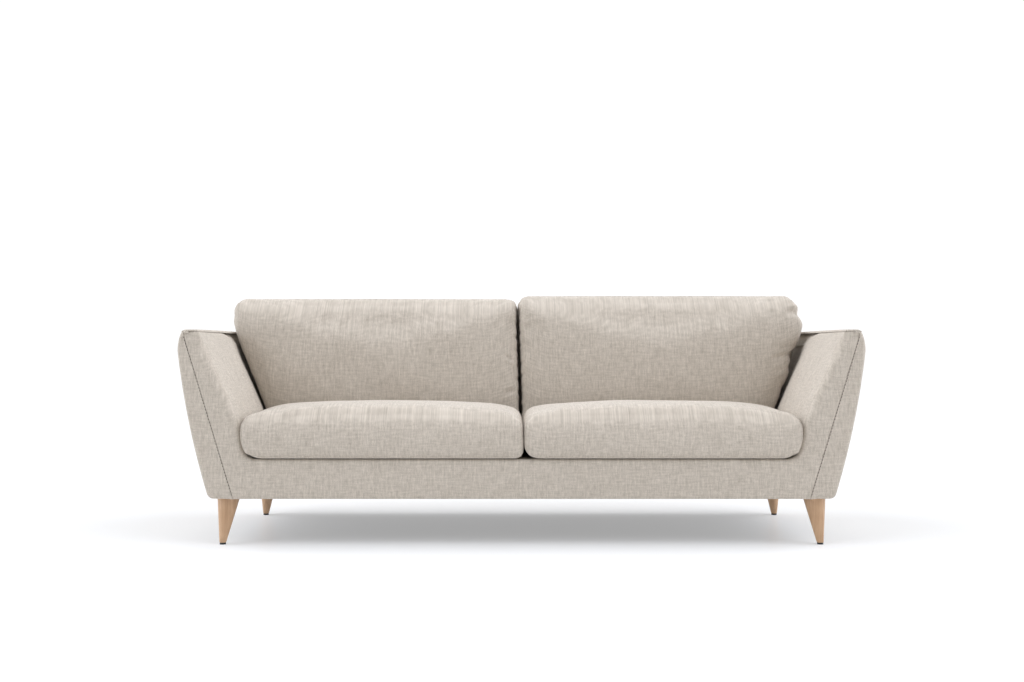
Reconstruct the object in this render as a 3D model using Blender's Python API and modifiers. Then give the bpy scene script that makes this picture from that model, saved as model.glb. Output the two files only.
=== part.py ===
"""Two-seat-cushion sofa with flared padded arms on four tapered wooden legs.

Metres, +Z up. The origin is on the floor under the centre of the sofa; the front faces -Y.
"""

import math

import bmesh
import bpy
from mathutils import Matrix, Vector

# ---- Driving dimensions -------------------------------------------------------------------
GAP = 0.0003                # clearance between pieces that touch
END_GAP = 0.0015            # clearance between the back padding and the twisted faces of the arms
REAR_GAP = 0.002            # clearance in front of the back's outer panel

BASE_BOTTOM = 0.155         # underside of the upholstered body, which is also the leg height
DECK_TOP = 0.288            # platform that the seat cushions rest on
ARM_TOP = 0.722             # arms and back frame are level
BASE_HALF = 1.05            # half width of the body at its underside
FRONT_Y = -0.44             # front face of the arms and the front border
REAR_BOTTOM_Y = 0.347       # rear face of the body at its underside

FLARE_SLOPE = 0.3045        # outward lean of the arms' sides and of the rear, per metre of height
FLARE_BEND = 0.195          # how that lean eases off with height
ARM_SHOULDER = 0.65         # height where the outer side starts to round over
ARM_ROUND = 0.028           # how far the rounding brings the top edge in

ARM_INNER_LEAN = 0.45       # outward lean of the arm's inner face, per metre of height
ARM_INNER_TOP = 1.083       # arm's inner face at its top, front end
ARM_KNEE = 0.43             # height where the inner face turns upright
ARM_INNER_DECK = 0.93       # arm's inner face at deck height
ARM_TOE = 0.03              # how far the inner face opens outward from front to rear
ARM_PAD = 0.025             # thickness of the arm's inner padding and front facing
PANEL = 0.012               # thickness of the arm's outer panel
REAR_PANEL = 0.008          # thickness of the back's outer panel
TOP_PAD = 0.0335            # padding over the arm's top

SEAM_FOOT = 0.970           # arm front seam: its X at SEAM_FOOT_Z ...
SEAM_FOOT_Z = 0.173
SEAM_LEAN = 0.3026          # ... and its outward lean per metre of height
SEAM_END = 0.700            # height where the outer panel stops under the arm's top edge

BACK_FACE_Y = 0.225         # front face of the back padding at deck height
BACK_LEAN = 0.2024          # recline of that face, per metre of height
BACK_PAD = 0.04

BORDER_REAR_Y = -0.36       # how far back the front border is turned over its rail
BORDER_UNDER = 0.272        # underside of that turned part, clear of the springs

RAIL_TOP = 0.265
RAIL_BOTTOM = 0.160
BOARD = 0.025               # thickness of the frame timber
PLY = 0.022                 # thickness of the arm posts and arm rails
CAVITY_TOP = ARM_TOP - TOP_PAD

LEG_TOP_RADIUS = 0.0375
LEG_FOOT_RADIUS = 0.0115
LEG_TOP_X, LEG_FOOT_X = 0.992, 1.005
FRONT_LEG_Y = (-0.383, -0.412)   # top centre, foot centre
REAR_LEG_Y = (0.240, 0.250)
GLIDE_HEIGHT = 0.006
GLIDE_RADIUS = 0.0105

BOLT_RADIUS, BOLT_HOLE = 0.004, 0.0044
NUT_RADIUS = 0.0085
LEG_HOLE_FOOT = 0.105       # how far down the bolt's hole reaches into the leg
BLOCK_TOP = 0.205           # top of the corner blocks
BOLT_INSET = 0.003          # bolt axis from the leg's top centre, towards the sofa's centre
BOLT_INSET_Y = 0.008

SEAT_FRONT_Y = -0.45
SEAT_REAR_Y = 0.008
SEAT_TOP = 0.460
BACK_THICK = 0.195
BACK_HEIGHT = 0.546         # back cushion along its recline
CUSHION_ROUND = 0.035
COVER = 0.006               # cushion cover with its wadding
MIDDLE_GAP = 0.003          # from the sofa's centre line to a cushion
SIDE_GAP = 0.006            # from a cushion to the arm
BACK_GAP = 0.008            # from a back cushion to the back padding, room for the zip slider

RECLINE = math.atan(BACK_LEAN)

WIRE_RADIUS = 0.0018
SPRING_REACH = 0.025        # half width of a spring's zigzag
SPRING_LOOPS = 7
SPRING_X = (-0.74, -0.47, -0.20, 0.20, 0.47, 0.74)

SIDES = (("left", -1), ("right", 1))

# ---- Materials: colour, roughness, metallic ------------------------------------------------
FINISHES = {
    "upholstery": ((0.56, 0.49, 0.40, 1), 0.90, 0.0),
    "foam": ((0.82, 0.78, 0.62, 1), 0.95, 0.0),
    "timber": ((0.62, 0.47, 0.30, 1), 0.75, 0.0),
    "leg_wood": ((0.56, 0.36, 0.20, 1), 0.45, 0.0),
    "glide": ((0.02, 0.02, 0.02, 1), 0.50, 0.0),
    "steel": ((0.45, 0.45, 0.47, 1), 0.35, 1.0),
    "webbing": ((0.25, 0.22, 0.18, 1), 0.85, 0.0),
    "lining": ((0.08, 0.08, 0.08, 1), 0.95, 0.0),
}


def material(name):
    """One Principled material per finish, made once."""
    found = bpy.data.materials.get(name)
    if found:
        return found
    colour, roughness, metallic = FINISHES[name]
    made = bpy.data.materials.new(name)
    made.use_nodes = True
    shader = made.node_tree.nodes["Principled BSDF"]
    shader.inputs["Base Color"].default_value = colour
    shader.inputs["Roughness"].default_value = roughness
    shader.inputs["Metallic"].default_value = metallic
    made.diffuse_color = colour
    return made


def start_clean():
    for thing in list(bpy.data.objects):
        bpy.data.objects.remove(thing, do_unlink=True)
    for name in ("sofa", "cutters"):
        bpy.context.scene.collection.children.link(bpy.data.collections.new(name))


# ---- Shapes --------------------------------------------------------------------------------
def place(name, mesh, finish=None):
    """Links a mesh as a part of the sofa, or as a hidden cutter when it has no finish."""
    made = bpy.data.objects.new(name, mesh)
    if finish:
        bpy.data.collections["sofa"].objects.link(made)
        mesh.materials.append(material(finish))
    else:
        bpy.data.collections["cutters"].objects.link(made)
        made.hide_render = True
        made.display_type = "WIRE"
    return made


def box(name, low, high, finish=None, bevel=0.0, segments=2):
    """A box between two corners, its edges rounded when bevel is given."""
    low, high = Vector(low), Vector(high)
    work = bmesh.new()
    bmesh.ops.create_cube(work, size=1.0)
    bmesh.ops.scale(work, vec=high - low, verts=work.verts)
    mesh = bpy.data.meshes.new(name)
    work.to_mesh(mesh)
    work.free()
    made = place(name, mesh, finish)
    made.location = (low + high) / 2
    if bevel:
        softened = made.modifiers.new("rounded edges", "BEVEL")
        softened.width = bevel
        softened.segments = segments
    return made


def ladder(name, levels, near_y, far_y, low_x, high_x, finish=None, mirror=False):
    """A loft up a list of heights. At each height z the section is a quadrilateral from near_y(z)
    to far_y(z), and its two sides lie at low_x(z, y) and high_x(z, y)."""
    side = -1 if mirror else 1
    work = bmesh.new()
    rings = []
    for z in levels:
        near, far = near_y(z), far_y(z)
        corners = (
            (low_x(z, near), near), (high_x(z, near), near),
            (high_x(z, far), far), (low_x(z, far), far),
        )
        rings.append([work.verts.new((side * x, y, z)) for x, y in corners])
    work.faces.new(rings[0][::-1])
    work.faces.new(rings[-1])
    for below, above in zip(rings, rings[1:]):
        for i in range(4):
            j = (i + 1) % 4
            work.faces.new((below[i], below[j], above[j], above[i]))
    bmesh.ops.recalc_face_normals(work, faces=work.faces)
    mesh = bpy.data.meshes.new(name)
    work.to_mesh(mesh)
    work.free()
    return place(name, mesh, finish)


def prism(name, outline, low_z, high_z, finish=None):
    """An upright prism on a flat outline of (x, y) points."""
    work = bmesh.new()
    base = work.faces.new([work.verts.new((x, y, low_z)) for x, y in outline])
    raised = bmesh.ops.extrude_face_region(work, geom=[base])["geom"]
    corners = [v for v in raised if isinstance(v, bmesh.types.BMVert)]
    bmesh.ops.translate(work, vec=(0, 0, high_z - low_z), verts=corners)
    bmesh.ops.recalc_face_normals(work, faces=work.faces)
    mesh = bpy.data.meshes.new(name)
    work.to_mesh(mesh)
    work.free()
    return place(name, mesh, finish)


def turned(name, profile, centre, finish, steps=16):
    """A turned piece about an upright axis: profile lists (radius, height) from top to bottom."""
    mesh = bpy.data.meshes.new(name)
    points = [(radius, 0, height) for radius, height in profile]
    mesh.from_pydata(points, [(i, i + 1) for i in range(len(points) - 1)], [])
    made = place(name, mesh, finish)
    made.location = centre
    screw = made.modifiers.new("turned", "SCREW")
    screw.axis = "Z"
    screw.steps = screw.render_steps = steps
    screw.use_merge_vertices = True
    screw.merge_threshold = 0.00001
    return made


def cylinder(name, radius, low, high, x, y, finish=None, sides=16):
    """An upright cylinder between two heights."""
    work = bmesh.new()
    bmesh.ops.create_cone(
        work, cap_ends=True, segments=sides, radius1=radius, radius2=radius, depth=high - low,
    )
    mesh = bpy.data.meshes.new(name)
    work.to_mesh(mesh)
    work.free()
    made = place(name, mesh, finish)
    made.location = (x, y, (low + high) / 2)
    return made


def cut(target, cutter):
    """Takes the cutter's volume out of the target."""
    taken = target.modifiers.new("cut " + cutter.name, "BOOLEAN")
    taken.operation = "DIFFERENCE"
    taken.solver = "EXACT"
    taken.object = cutter


# ---- Outlines of the upholstered body ------------------------------------------------------
def flare(z):
    """How far the body's sides and rear stand out past the underside at height z."""
    rise = min(max(z - BASE_BOTTOM, 0.0), ARM_SHOULDER - BASE_BOTTOM)
    return FLARE_SLOPE * rise - FLARE_BEND * rise * rise


def rounding(z):
    """How far the shoulder rounding pulls the outline in at height z."""
    share = min(max((z - ARM_SHOULDER) / (ARM_TOP - ARM_SHOULDER), 0.0), 1.0)
    return ARM_ROUND * (1 - math.sqrt(1 - share * share))


def outer_x(z, y=0.0):
    return BASE_HALF + flare(z) - rounding(z)


def rear_y(z):
    return REAR_BOTTOM_Y + flare(z) - rounding(z)


def toe(z, y):
    """Extra opening of the arm's inner face towards the rear, half as much at the deck."""
    along = (y - FRONT_Y) / (REAR_BOTTOM_Y - FRONT_Y)
    up = min(max((z - DECK_TOP) / (ARM_KNEE - DECK_TOP), 0.0), 1.0)
    return ARM_TOE * along * (0.5 + 0.5 * up)


def inner_x(z, y):
    """The arm's inner face: upright at the deck, then leaning outward."""
    knee = ARM_INNER_TOP - ARM_INNER_LEAN * (ARM_TOP - ARM_KNEE)
    if z >= ARM_KNEE:
        x = ARM_INNER_TOP - ARM_INNER_LEAN * (ARM_TOP - z)
    else:
        share = max(z - DECK_TOP, 0.0) / (ARM_KNEE - DECK_TOP)
        x = ARM_INNER_DECK + (knee - ARM_INNER_DECK) * share * share
    return x + toe(z, y)


def seam_x(z):
    return SEAM_FOOT + SEAM_LEAN * (z - SEAM_FOOT_Z)


def back_face_y(z):
    return BACK_FACE_Y + BACK_LEAN * (z - DECK_TOP)


BODY_LEVELS = (BASE_BOTTOM, 0.22, DECK_TOP, 0.36, ARM_KNEE, 0.50, 0.575, ARM_SHOULDER, 0.685)
TOP_LEVELS = (0.7085, ARM_TOP)
BELOW = 0.10                # cutters run this low, and this far past the rear
PAST_REAR = 0.60


def arm_rear_y(z):
    return rear_y(z) - REAR_PANEL - REAR_GAP


def cut_arm_hollow(target, name, low_x, high_x, mirror):
    """The space inside an arm, open below and to the rear, that holds its timber."""
    levels = (BELOW, 0.22, DECK_TOP, 0.36, ARM_KNEE, 0.50, 0.575, ARM_SHOULDER, CAVITY_TOP)
    hollow = ladder(
        "hollow of " + name, levels, lambda z: FRONT_Y + ARM_PAD, lambda z: PAST_REAR, low_x, high_x,
        mirror=mirror,
    )
    cut(target, hollow)


# ---- Upholstered body ----------------------------------------------------------------------
def arm_upholstery(side, sign):
    """The two upholstered pieces of one arm, parted along the seam on its front."""
    mirror = sign < 0
    outer = ladder(
        f"arm_outer_panel_{side}", BODY_LEVELS + (SEAM_END,), lambda z: FRONT_Y, arm_rear_y,
        lambda z, y: seam_x(z) + GAP, lambda z, y: outer_x(z), "upholstery", mirror,
    )
    cut_arm_hollow(
        outer, f"outer panel {side}", lambda z, y: 0.5, lambda z, y: outer_x(z) - PANEL, mirror,
    )

    step = SEAM_END + 2 * GAP
    inner = ladder(
        f"arm_inner_pad_{side}", BODY_LEVELS + (SEAM_END + GAP, step) + TOP_LEVELS,
        lambda z: FRONT_Y, arm_rear_y, inner_x,
        lambda z, y: seam_x(z) - GAP if z < step else outer_x(z), "upholstery", mirror,
    )
    cut_arm_hollow(
        inner, f"inner pad {side}", lambda z, y: inner_x(z, y) + ARM_PAD, lambda z, y: 1.3, mirror,
    )
    low_x, high_x = sorted((sign * 0.85, sign * 1.20))
    under = box(
        f"frame space under pad {side}", (low_x, FRONT_Y + ARM_PAD, BELOW),
        (high_x, PAST_REAR, BORDER_UNDER),
    )
    cut(inner, under)


def front_border():
    """Padded band over the front rail, turned back over its top."""
    half = ARM_INNER_DECK - GAP
    low, high = (-half, FRONT_Y, BASE_BOTTOM), (half, BORDER_REAR_Y, DECK_TOP)
    band = box("front_border", low, high, "upholstery")
    cut(band, box("rail space", (-1.2, FRONT_Y + ARM_PAD, BELOW), (1.2, 0.0, BORDER_UNDER)))


def back_upholstery():
    """The padding over the back frame's front and top, and the panel over its rear."""
    foot = RAIL_TOP + 0.0075
    levels = (foot, DECK_TOP, 0.36, ARM_KNEE, 0.50, 0.575, ARM_SHOULDER, 0.685, SEAM_END) + TOP_LEVELS
    pad = ladder(
        "back_inner_pad", levels, back_face_y, lambda z: rear_y(z) - REAR_PANEL - REAR_GAP,
        lambda z, y: END_GAP - inner_x(z, y), lambda z, y: inner_x(z, y) - END_GAP, "upholstery",
    )
    hollow = ladder(
        "back hollow", (BELOW, 0.36, 0.575, SEAM_END), lambda z: back_face_y(z) + BACK_PAD,
        lambda z: PAST_REAR, lambda z, y: -1.3, lambda z, y: 1.3,
    )
    cut(pad, hollow)
    ladder(
        "back_outer_panel", BODY_LEVELS + (SEAM_END,) + TOP_LEVELS, lambda z: rear_y(z) - REAR_PANEL, rear_y,
        lambda z, y: -outer_x(z), lambda z, y: outer_x(z), "upholstery",
    )


def seat_deck():
    half = ARM_INNER_DECK - 0.003
    low, high = (-half, BORDER_REAR_Y + GAP, BORDER_UNDER), (half, BACK_FACE_Y - 0.004, DECK_TOP)
    box("seat_deck", low, high, "lining")


def dust_cover():
    """Thin cloth under the frame, pierced by the leg bolts."""
    half, thick = BASE_HALF - PANEL - 0.002, 0.0015
    low = (-half, FRONT_Y + ARM_PAD + GAP, BASE_BOTTOM)
    high = (half, REAR_BOTTOM_Y - REAR_PANEL - REAR_GAP, BASE_BOTTOM + thick)
    cloth = box("dust_cover", low, high, "lining")
    for name, x, y in bolt_places():
        cut(cloth, cylinder("dust cover hole " + name, BOLT_HOLE, BELOW, 0.20, x, y))


# ---- Timber frame --------------------------------------------------------------------------
FRONT_RAIL_Y = (FRONT_Y + ARM_PAD + GAP, FRONT_Y + ARM_PAD + BOARD)
REAR_RAIL_Y = (0.300, 0.300 + BOARD)
SIDE_RAIL_X = (1.010, 1.010 + BOARD)
ARM_RAIL_X = 1.108          # inner side of the arm's top rail
ARM_RAIL_Z = (0.598, 0.640)
ARM_RAIL_REAR_Y = 0.400
POST_TOP = 0.660
POST_X = 0.90


def seat_frame():
    """Front, rear, side and centre rails."""
    halves = {"front_rail": ARM_INNER_DECK + ARM_PAD - GAP, "rear_rail": SIDE_RAIL_X[0] - GAP}
    for name, (near, far) in (("front_rail", FRONT_RAIL_Y), ("rear_rail", REAR_RAIL_Y)):
        half = halves[name]
        box(name, (-half, near, RAIL_BOTTOM), (half, far, RAIL_TOP), "timber")
    box(
        "centre_rail", (-BOARD / 2, FRONT_RAIL_Y[1] + GAP, RAIL_BOTTOM),
        (BOARD / 2, REAR_RAIL_Y[0] - GAP, RAIL_TOP - 0.030), "timber",
    )
    for side, sign in SIDES:
        low_x, high_x = sorted(sign * x for x in SIDE_RAIL_X)
        near = FRONT_Y + ARM_PAD + PLY + 0.002
        low, high = (low_x, near, RAIL_BOTTOM), (high_x, REAR_RAIL_Y[1], RAIL_TOP)
        box(f"side_rail_{side}", low, high, "timber")


def arm_timber(side, sign):
    """One arm's front post, cut to the arm's outline, and its top rail."""
    near = FRONT_Y + ARM_PAD + GAP
    levels = (RAIL_BOTTOM, DECK_TOP, 0.36, ARM_KNEE, 0.50, 0.575, ARM_SHOULDER, CAVITY_TOP - 0.005)
    ladder(
        f"arm_front_post_{side}", levels, lambda z: near, lambda z: near + PLY,
        lambda z, y: inner_x(z, y) + ARM_PAD + 0.001, lambda z, y: outer_x(z) - PANEL - 0.001,
        "timber", sign < 0,
    )
    low_x, high_x = sorted((sign * ARM_RAIL_X, sign * (ARM_RAIL_X + PLY)))
    low, high = (low_x, near + PLY + GAP, ARM_RAIL_Z[0]), (high_x, ARM_RAIL_REAR_Y, ARM_RAIL_Z[1])
    box(f"arm_top_rail_{side}", low, high, "timber")


def post_y(z):
    """Front face of the back posts, which lean back from the rear rail."""
    share = (z - RAIL_TOP) / (POST_TOP - RAIL_TOP)
    return REAR_RAIL_Y[0] + 0.104 * share


def back_timber():
    for name, x in (("left", -POST_X), ("centre", 0.0), ("right", POST_X)):
        ladder(
            f"back_post_{name}", (RAIL_TOP + GAP, POST_TOP), post_y, lambda z: post_y(z) + BOARD,
            lambda z, y, x=x: x - 0.02, lambda z, y, x=x: x + 0.02, "timber",
        )
    near = post_y(POST_TOP)
    low, high = (-1.0, near, POST_TOP + GAP), (1.0, near + BOARD, SEAM_END - 0.001)
    box("back_top_rail", low, high, "timber")


def corner_blocks():
    """A triangular block in each corner of the seat frame, which a leg bolts to."""
    corner_x, leg = SIDE_RAIL_X[0] - GAP, 0.110
    corners = {"front": (FRONT_RAIL_Y[1] + GAP, leg), "rear": (REAR_RAIL_Y[0] - GAP, -leg)}
    for end, (y, into) in corners.items():
        for side, sign in SIDES:
            outline = [(sign * corner_x, y), (sign * (corner_x - leg), y), (sign * corner_x, y + into)]
            block = prism(f"corner_block_{end}_{side}", outline, RAIL_BOTTOM - 0.002, BLOCK_TOP, "timber")
            x, bolt_y = bolt_place(end, sign)
            cut(block, cylinder(f"block hole {end} {side}", BOLT_HOLE, BELOW, 0.25, x, bolt_y))


# ---- Springs and webbing -------------------------------------------------------------------
def seat_springs():
    """Zigzag wires from the front rail to the rear rail."""
    z = RAIL_TOP + WIRE_RADIUS + GAP + 0.0006
    start, end = FRONT_RAIL_Y[0] + 0.012, REAR_RAIL_Y[1] - 0.012
    steps = SPRING_LOOPS * 6
    for number, x in enumerate(SPRING_X, 1):
        curve = bpy.data.curves.new(f"seat_spring_{number}", "CURVE")
        curve.dimensions = "3D"
        curve.bevel_depth = WIRE_RADIUS
        curve.bevel_resolution = 2
        curve.use_fill_caps = True
        line = curve.splines.new("POLY")
        line.points.add(steps)
        for i, point in enumerate(line.points):
            share = i / steps
            reach = SPRING_REACH * math.sin(2 * math.pi * SPRING_LOOPS * share)
            point.co = (x + reach, start + (end - start) * share, z, 1)
        curve.materials.append(material("steel"))
        made = bpy.data.objects.new(f"seat_spring_{number}", curve)
        bpy.data.collections["sofa"].objects.link(made)


def back_webbing():
    """Straps across the front of the back posts."""
    lean = math.atan((post_y(POST_TOP) - post_y(RAIL_TOP)) / (POST_TOP - RAIL_TOP))
    thick, half_width = 0.002, 0.03
    for number, z in enumerate((0.36, 0.47, 0.58), 1):
        corner = Vector((POST_X + 0.02, thick / 2, half_width))
        strap = box(f"back_webbing_{number}", -corner, corner, "webbing")
        strap.location = (0, post_y(z) - thick / 2 - 0.0006, z)
        strap.rotation_euler = (-lean, 0, 0)


# ---- Legs ----------------------------------------------------------------------------------
def leg_places():
    for end, ys in (("front", FRONT_LEG_Y), ("rear", REAR_LEG_Y)):
        for side, sign in SIDES:
            yield end, side, sign, ys


def bolt_place(end, sign):
    """Where a leg's bolt stands, a little inward from the leg's top centre."""
    top_y = (FRONT_LEG_Y if end == "front" else REAR_LEG_Y)[0]
    inward = BOLT_INSET_Y if end == "front" else -BOLT_INSET_Y
    return sign * (LEG_TOP_X - BOLT_INSET), top_y + inward


def bolt_places():
    for end, side, sign, _ in leg_places():
        x, y = bolt_place(end, sign)
        yield f"{end} {side}", x, y


def splayed_cone(name, foot, foot_radius, top, top_radius, finish, sides=24):
    """A tapered round leg between two centres, its ends level."""
    foot, top = Vector(foot), Vector(top)
    height = top.z - foot.z
    work = bmesh.new()
    bmesh.ops.create_cone(
        work, cap_ends=True, segments=sides, radius1=foot_radius, radius2=top_radius, depth=height,
        matrix=Matrix.Translation((0, 0, height / 2)),
    )
    for corner in work.verts:
        height_share = corner.co.z / height
        corner.co += foot + (top - foot) * height_share - Vector((0, 0, corner.co.z))
    mesh = bpy.data.meshes.new(name)
    work.to_mesh(mesh)
    work.free()
    mesh.shade_smooth()
    mesh.set_sharp_from_angle(angle=math.radians(40))
    return place(name, mesh, finish)


def legs():
    """Splayed tapered round legs, each with a glide below and a bolt above."""
    top_z, foot_z = BASE_BOTTOM - GAP, GLIDE_HEIGHT + GAP
    for end, side, sign, (top_y, foot_y) in leg_places():
        leg = splayed_cone(
            f"leg_{end}_{side}", (sign * LEG_FOOT_X, foot_y, foot_z), LEG_FOOT_RADIUS,
            (sign * LEG_TOP_X, top_y, top_z), LEG_TOP_RADIUS, "leg_wood",
        )
        x, y = bolt_place(end, sign)
        cut(leg, cylinder(f"leg hole {end} {side}", BOLT_HOLE, LEG_HOLE_FOOT, 0.20, x, y))
        nut_top, nut_foot = BLOCK_TOP + 0.0075, BLOCK_TOP + 0.0006
        profile = (
            (0, nut_top), (NUT_RADIUS, nut_top), (NUT_RADIUS, nut_foot), (BOLT_RADIUS, nut_foot),
            (BOLT_RADIUS, LEG_HOLE_FOOT + 0.0025), (0, LEG_HOLE_FOOT + 0.0005),
        )
        turned(f"leg_bolt_{end}_{side}", profile, (x, y, 0), "steel")
        foot_x = sign * LEG_FOOT_X
        cylinder(f"glide_{end}_{side}", GLIDE_RADIUS, 0.0, GLIDE_HEIGHT, foot_x, foot_y, "glide")


# ---- Cushions ------------------------------------------------------------------------------
def rounded(target, width, segments=3):
    soft = target.modifiers.new("rounded edges", "BEVEL")
    soft.width = width
    soft.segments = segments
    soft.limit_method = "ANGLE"
    soft.angle_limit = math.radians(50)


def cushion(name, sign, levels, near, far, reach, slot, tilt=None):
    """A zipped cover, its core and its zip slider. The cover is a shell with a slot where the zip
    runs. reach(z, y) is the cushion's outer side, and tilt places a piece modelled upright."""
    side = "left" if sign < 0 else "right"
    bottom, top = levels[0], levels[-1]

    def shell(label, inset, finish):
        def level(z):
            return bottom + inset + (z - bottom) * (top - bottom - 2 * inset) / (top - bottom)

        made = ladder(
            label, [level(z) for z in levels], lambda z: near + inset, lambda z: far - inset,
            lambda z, y: MIDDLE_GAP + inset, lambda z, y: reach(z, y) - inset, finish, sign < 0,
        )
        rounded(made, CUSHION_ROUND - inset)
        return made

    cover = shell(f"{name}_cover_{side}", 0.0, "upholstery")
    hollow = shell(f"{name} hollow {side}", COVER, None)
    core = shell(f"{name}_core_{side}", COVER + 0.001, "foam")
    slot_z, slot_low, slot_high = slot
    low_x, high_x = sorted((sign * slot_low, sign * slot_high))
    low, high = (low_x, far - 0.03, slot_z - 0.002), (high_x, far + 0.03, slot_z + 0.002)
    opening = box(f"{name} zip opening {side}", low, high)
    cut(cover, hollow)
    cut(cover, opening)
    x = sign * (slot_high - 0.03)
    slider = box(
        f"{name}_zip_slider_{side}", (x - 0.006, far + 0.0008, slot_z - 0.004),
        (x + 0.006, far + 0.0048, slot_z + 0.004), "steel", bevel=0.001,
    )
    if tilt:
        for piece in (cover, hollow, core, opening, slider):
            piece.matrix_world = tilt @ piece.matrix_basis


def seat_cushions():
    levels = (DECK_TOP + 0.001, 0.34, 0.40, SEAT_TOP)
    zip_z = (DECK_TOP + SEAT_TOP) / 2

    def reach(z, y):
        return inner_x(DECK_TOP, y) + 0.008 - SIDE_GAP

    for side, sign in SIDES:
        cushion("seat_cushion", sign, levels, SEAT_FRONT_Y, SEAT_REAR_Y, reach, (zip_z, 0.06, 0.88))


def back_cushions():
    """Trapezoids that fill the space between the flared arms and lean on the back padding. They
    are modelled upright with their rear face at y = 0 and their foot at z = 0, then tilted."""
    foot = Vector((0, back_face_y(DECK_TOP) - BACK_GAP, DECK_TOP + 0.0015))
    tilt = Matrix.Translation(foot) @ Matrix.Rotation(-RECLINE, 4, "X")
    levels = (0.0, 0.08, 0.16, 0.28, 0.40, 0.47, BACK_HEIGHT)

    def reach(z, y):
        height = DECK_TOP + z * math.cos(RECLINE)
        return min(inner_x(height, 0.0) - SIDE_GAP, 1.125)

    for side, sign in SIDES:
        cushion("back_cushion", sign, levels, -BACK_THICK, 0.0, reach, (0.12, 0.06, 0.90), tilt)


def main():
    start_clean()
    seat_frame()
    corner_blocks()
    back_timber()
    seat_springs()
    back_webbing()
    seat_deck()
    for side, sign in SIDES:
        arm_timber(side, sign)
        arm_upholstery(side, sign)
    front_border()
    back_upholstery()
    dust_cover()
    legs()
    seat_cushions()
    back_cushions()


main()
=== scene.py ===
"""Sofa with two seat cushions, two back cushions, flared padded arms and four oak legs.

Metres, +Z up, the origin on the floor under the sofa's centre, the front facing -Y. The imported
frame gives the hidden structure; the upholstery, cushions, legs, seams and zips are made here.
"""

import math

import bmesh
import bpy
import numpy as np
from mathutils import Matrix, Vector


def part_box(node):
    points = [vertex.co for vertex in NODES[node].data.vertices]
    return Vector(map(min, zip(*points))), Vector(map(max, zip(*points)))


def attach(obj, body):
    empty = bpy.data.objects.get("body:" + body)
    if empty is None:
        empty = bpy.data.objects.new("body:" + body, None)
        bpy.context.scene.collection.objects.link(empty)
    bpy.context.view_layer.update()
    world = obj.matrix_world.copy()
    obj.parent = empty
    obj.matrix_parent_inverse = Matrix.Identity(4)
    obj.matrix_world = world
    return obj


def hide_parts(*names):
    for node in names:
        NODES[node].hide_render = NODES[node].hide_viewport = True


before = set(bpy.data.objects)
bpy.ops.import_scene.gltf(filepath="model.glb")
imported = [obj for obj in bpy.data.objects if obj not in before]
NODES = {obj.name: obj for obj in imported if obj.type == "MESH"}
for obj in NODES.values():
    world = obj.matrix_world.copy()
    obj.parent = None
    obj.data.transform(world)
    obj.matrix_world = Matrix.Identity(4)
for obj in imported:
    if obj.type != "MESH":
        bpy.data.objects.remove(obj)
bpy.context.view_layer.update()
SIDES = (("left", -1), ("right", 1))


def low(node, axis):
    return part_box(node)[0][axis]


def high(node, axis):
    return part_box(node)[1][axis]


# ---- Dimensions of the upholstered body ----------------------------------------------------
BASE_BOTTOM = low("front_border", 2)       # underside of the body
DECK_TOP = high("seat_deck", 2)            # platform under the seat cushions
ARM_TOP = high("arm_inner_pad_right", 2)   # arms and back frame are level
FRONT_Y = low("front_border", 1)           # front face of arms and border
BASE_HALF = 1.05                           # half width at the underside
REAR_BOTTOM_Y = 0.347                      # rear face at the underside
FLARE_SLOPE, FLARE_BEND = 0.3045, 0.195    # lean of the sides and rear, and how it eases off
SHOULDER = 0.65                            # height where the sides start to round over
SHOULDER_ROUND = 0.028                     # how far they round in by the top
INNER_LEAN = 0.45                          # outward lean of an arm's inner face
INNER_TOP = 1.083                          # arm's inner face at its top, front end
KNEE = 0.43                                # height where the inner face turns upright
INNER_DECK = 0.93                          # inner face at deck height
TOE = 0.03                                 # how far the inner face opens towards the rear
FACE_COS, FACE_SIN = 0.91, 0.41            # cosine and sine of the inner face's lean
DOWN_FACE = FACE_COS * np.array([-INNER_LEAN, -1.0])    # (x, z) down the inner face
SEAM_FOOT, SEAM_FOOT_Z = 0.970, 0.173      # a point on an arm's front seam
SEAM_LEAN = 0.3026                         # outward lean of that seam
BACK_FACE_Y, BACK_LEAN = 0.225, 0.2024     # front of the back padding and its recline
BORDER_REAR_Y = high("front_border", 1)
STRIP = 0.0065                             # height of the outer panel's lap over the arm top
SHELL = 0.0025                             # thickness of the covering with its wadding
UNDER = 0.0006                             # covering below the dust cover's plane
LAP_Z = ARM_TOP - STRIP - 0.0005           # top of the inner cover, under the strip
TUCK_X = 1.128                             # where the inner cover is tucked away there
FILLET = 0.044                             # hollow between an inner face and the border, in front
SEAM_SINK = 0.009                          # how deep the arms' front seam is sewn in


def smooth(value, start, end):
    """0 before start, 1 after end, eased between."""
    share = np.clip((value - start) / (end - start), 0.0, 1.0)
    return share * share * (3 - 2 * share)


def flare(z):
    rise = np.clip(z - BASE_BOTTOM, 0.0, SHOULDER - BASE_BOTTOM)
    return FLARE_SLOPE * rise - FLARE_BEND * rise * rise


def rounding(z):
    share = np.clip((z - SHOULDER) / (ARM_TOP - SHOULDER), 0.0, 1.0)
    return SHOULDER_ROUND * (1 - np.sqrt(1 - share * share))


def outer_x(z):
    return BASE_HALF + flare(z) - rounding(z)


def rear_y(z):
    return REAR_BOTTOM_Y + flare(z) - rounding(z)


def toe(z, y):
    along = (y - FRONT_Y) / (REAR_BOTTOM_Y - FRONT_Y)
    up = np.clip((z - DECK_TOP) / (KNEE - DECK_TOP), 0.0, 1.0)
    return TOE * along * (0.5 + 0.5 * up)


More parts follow.
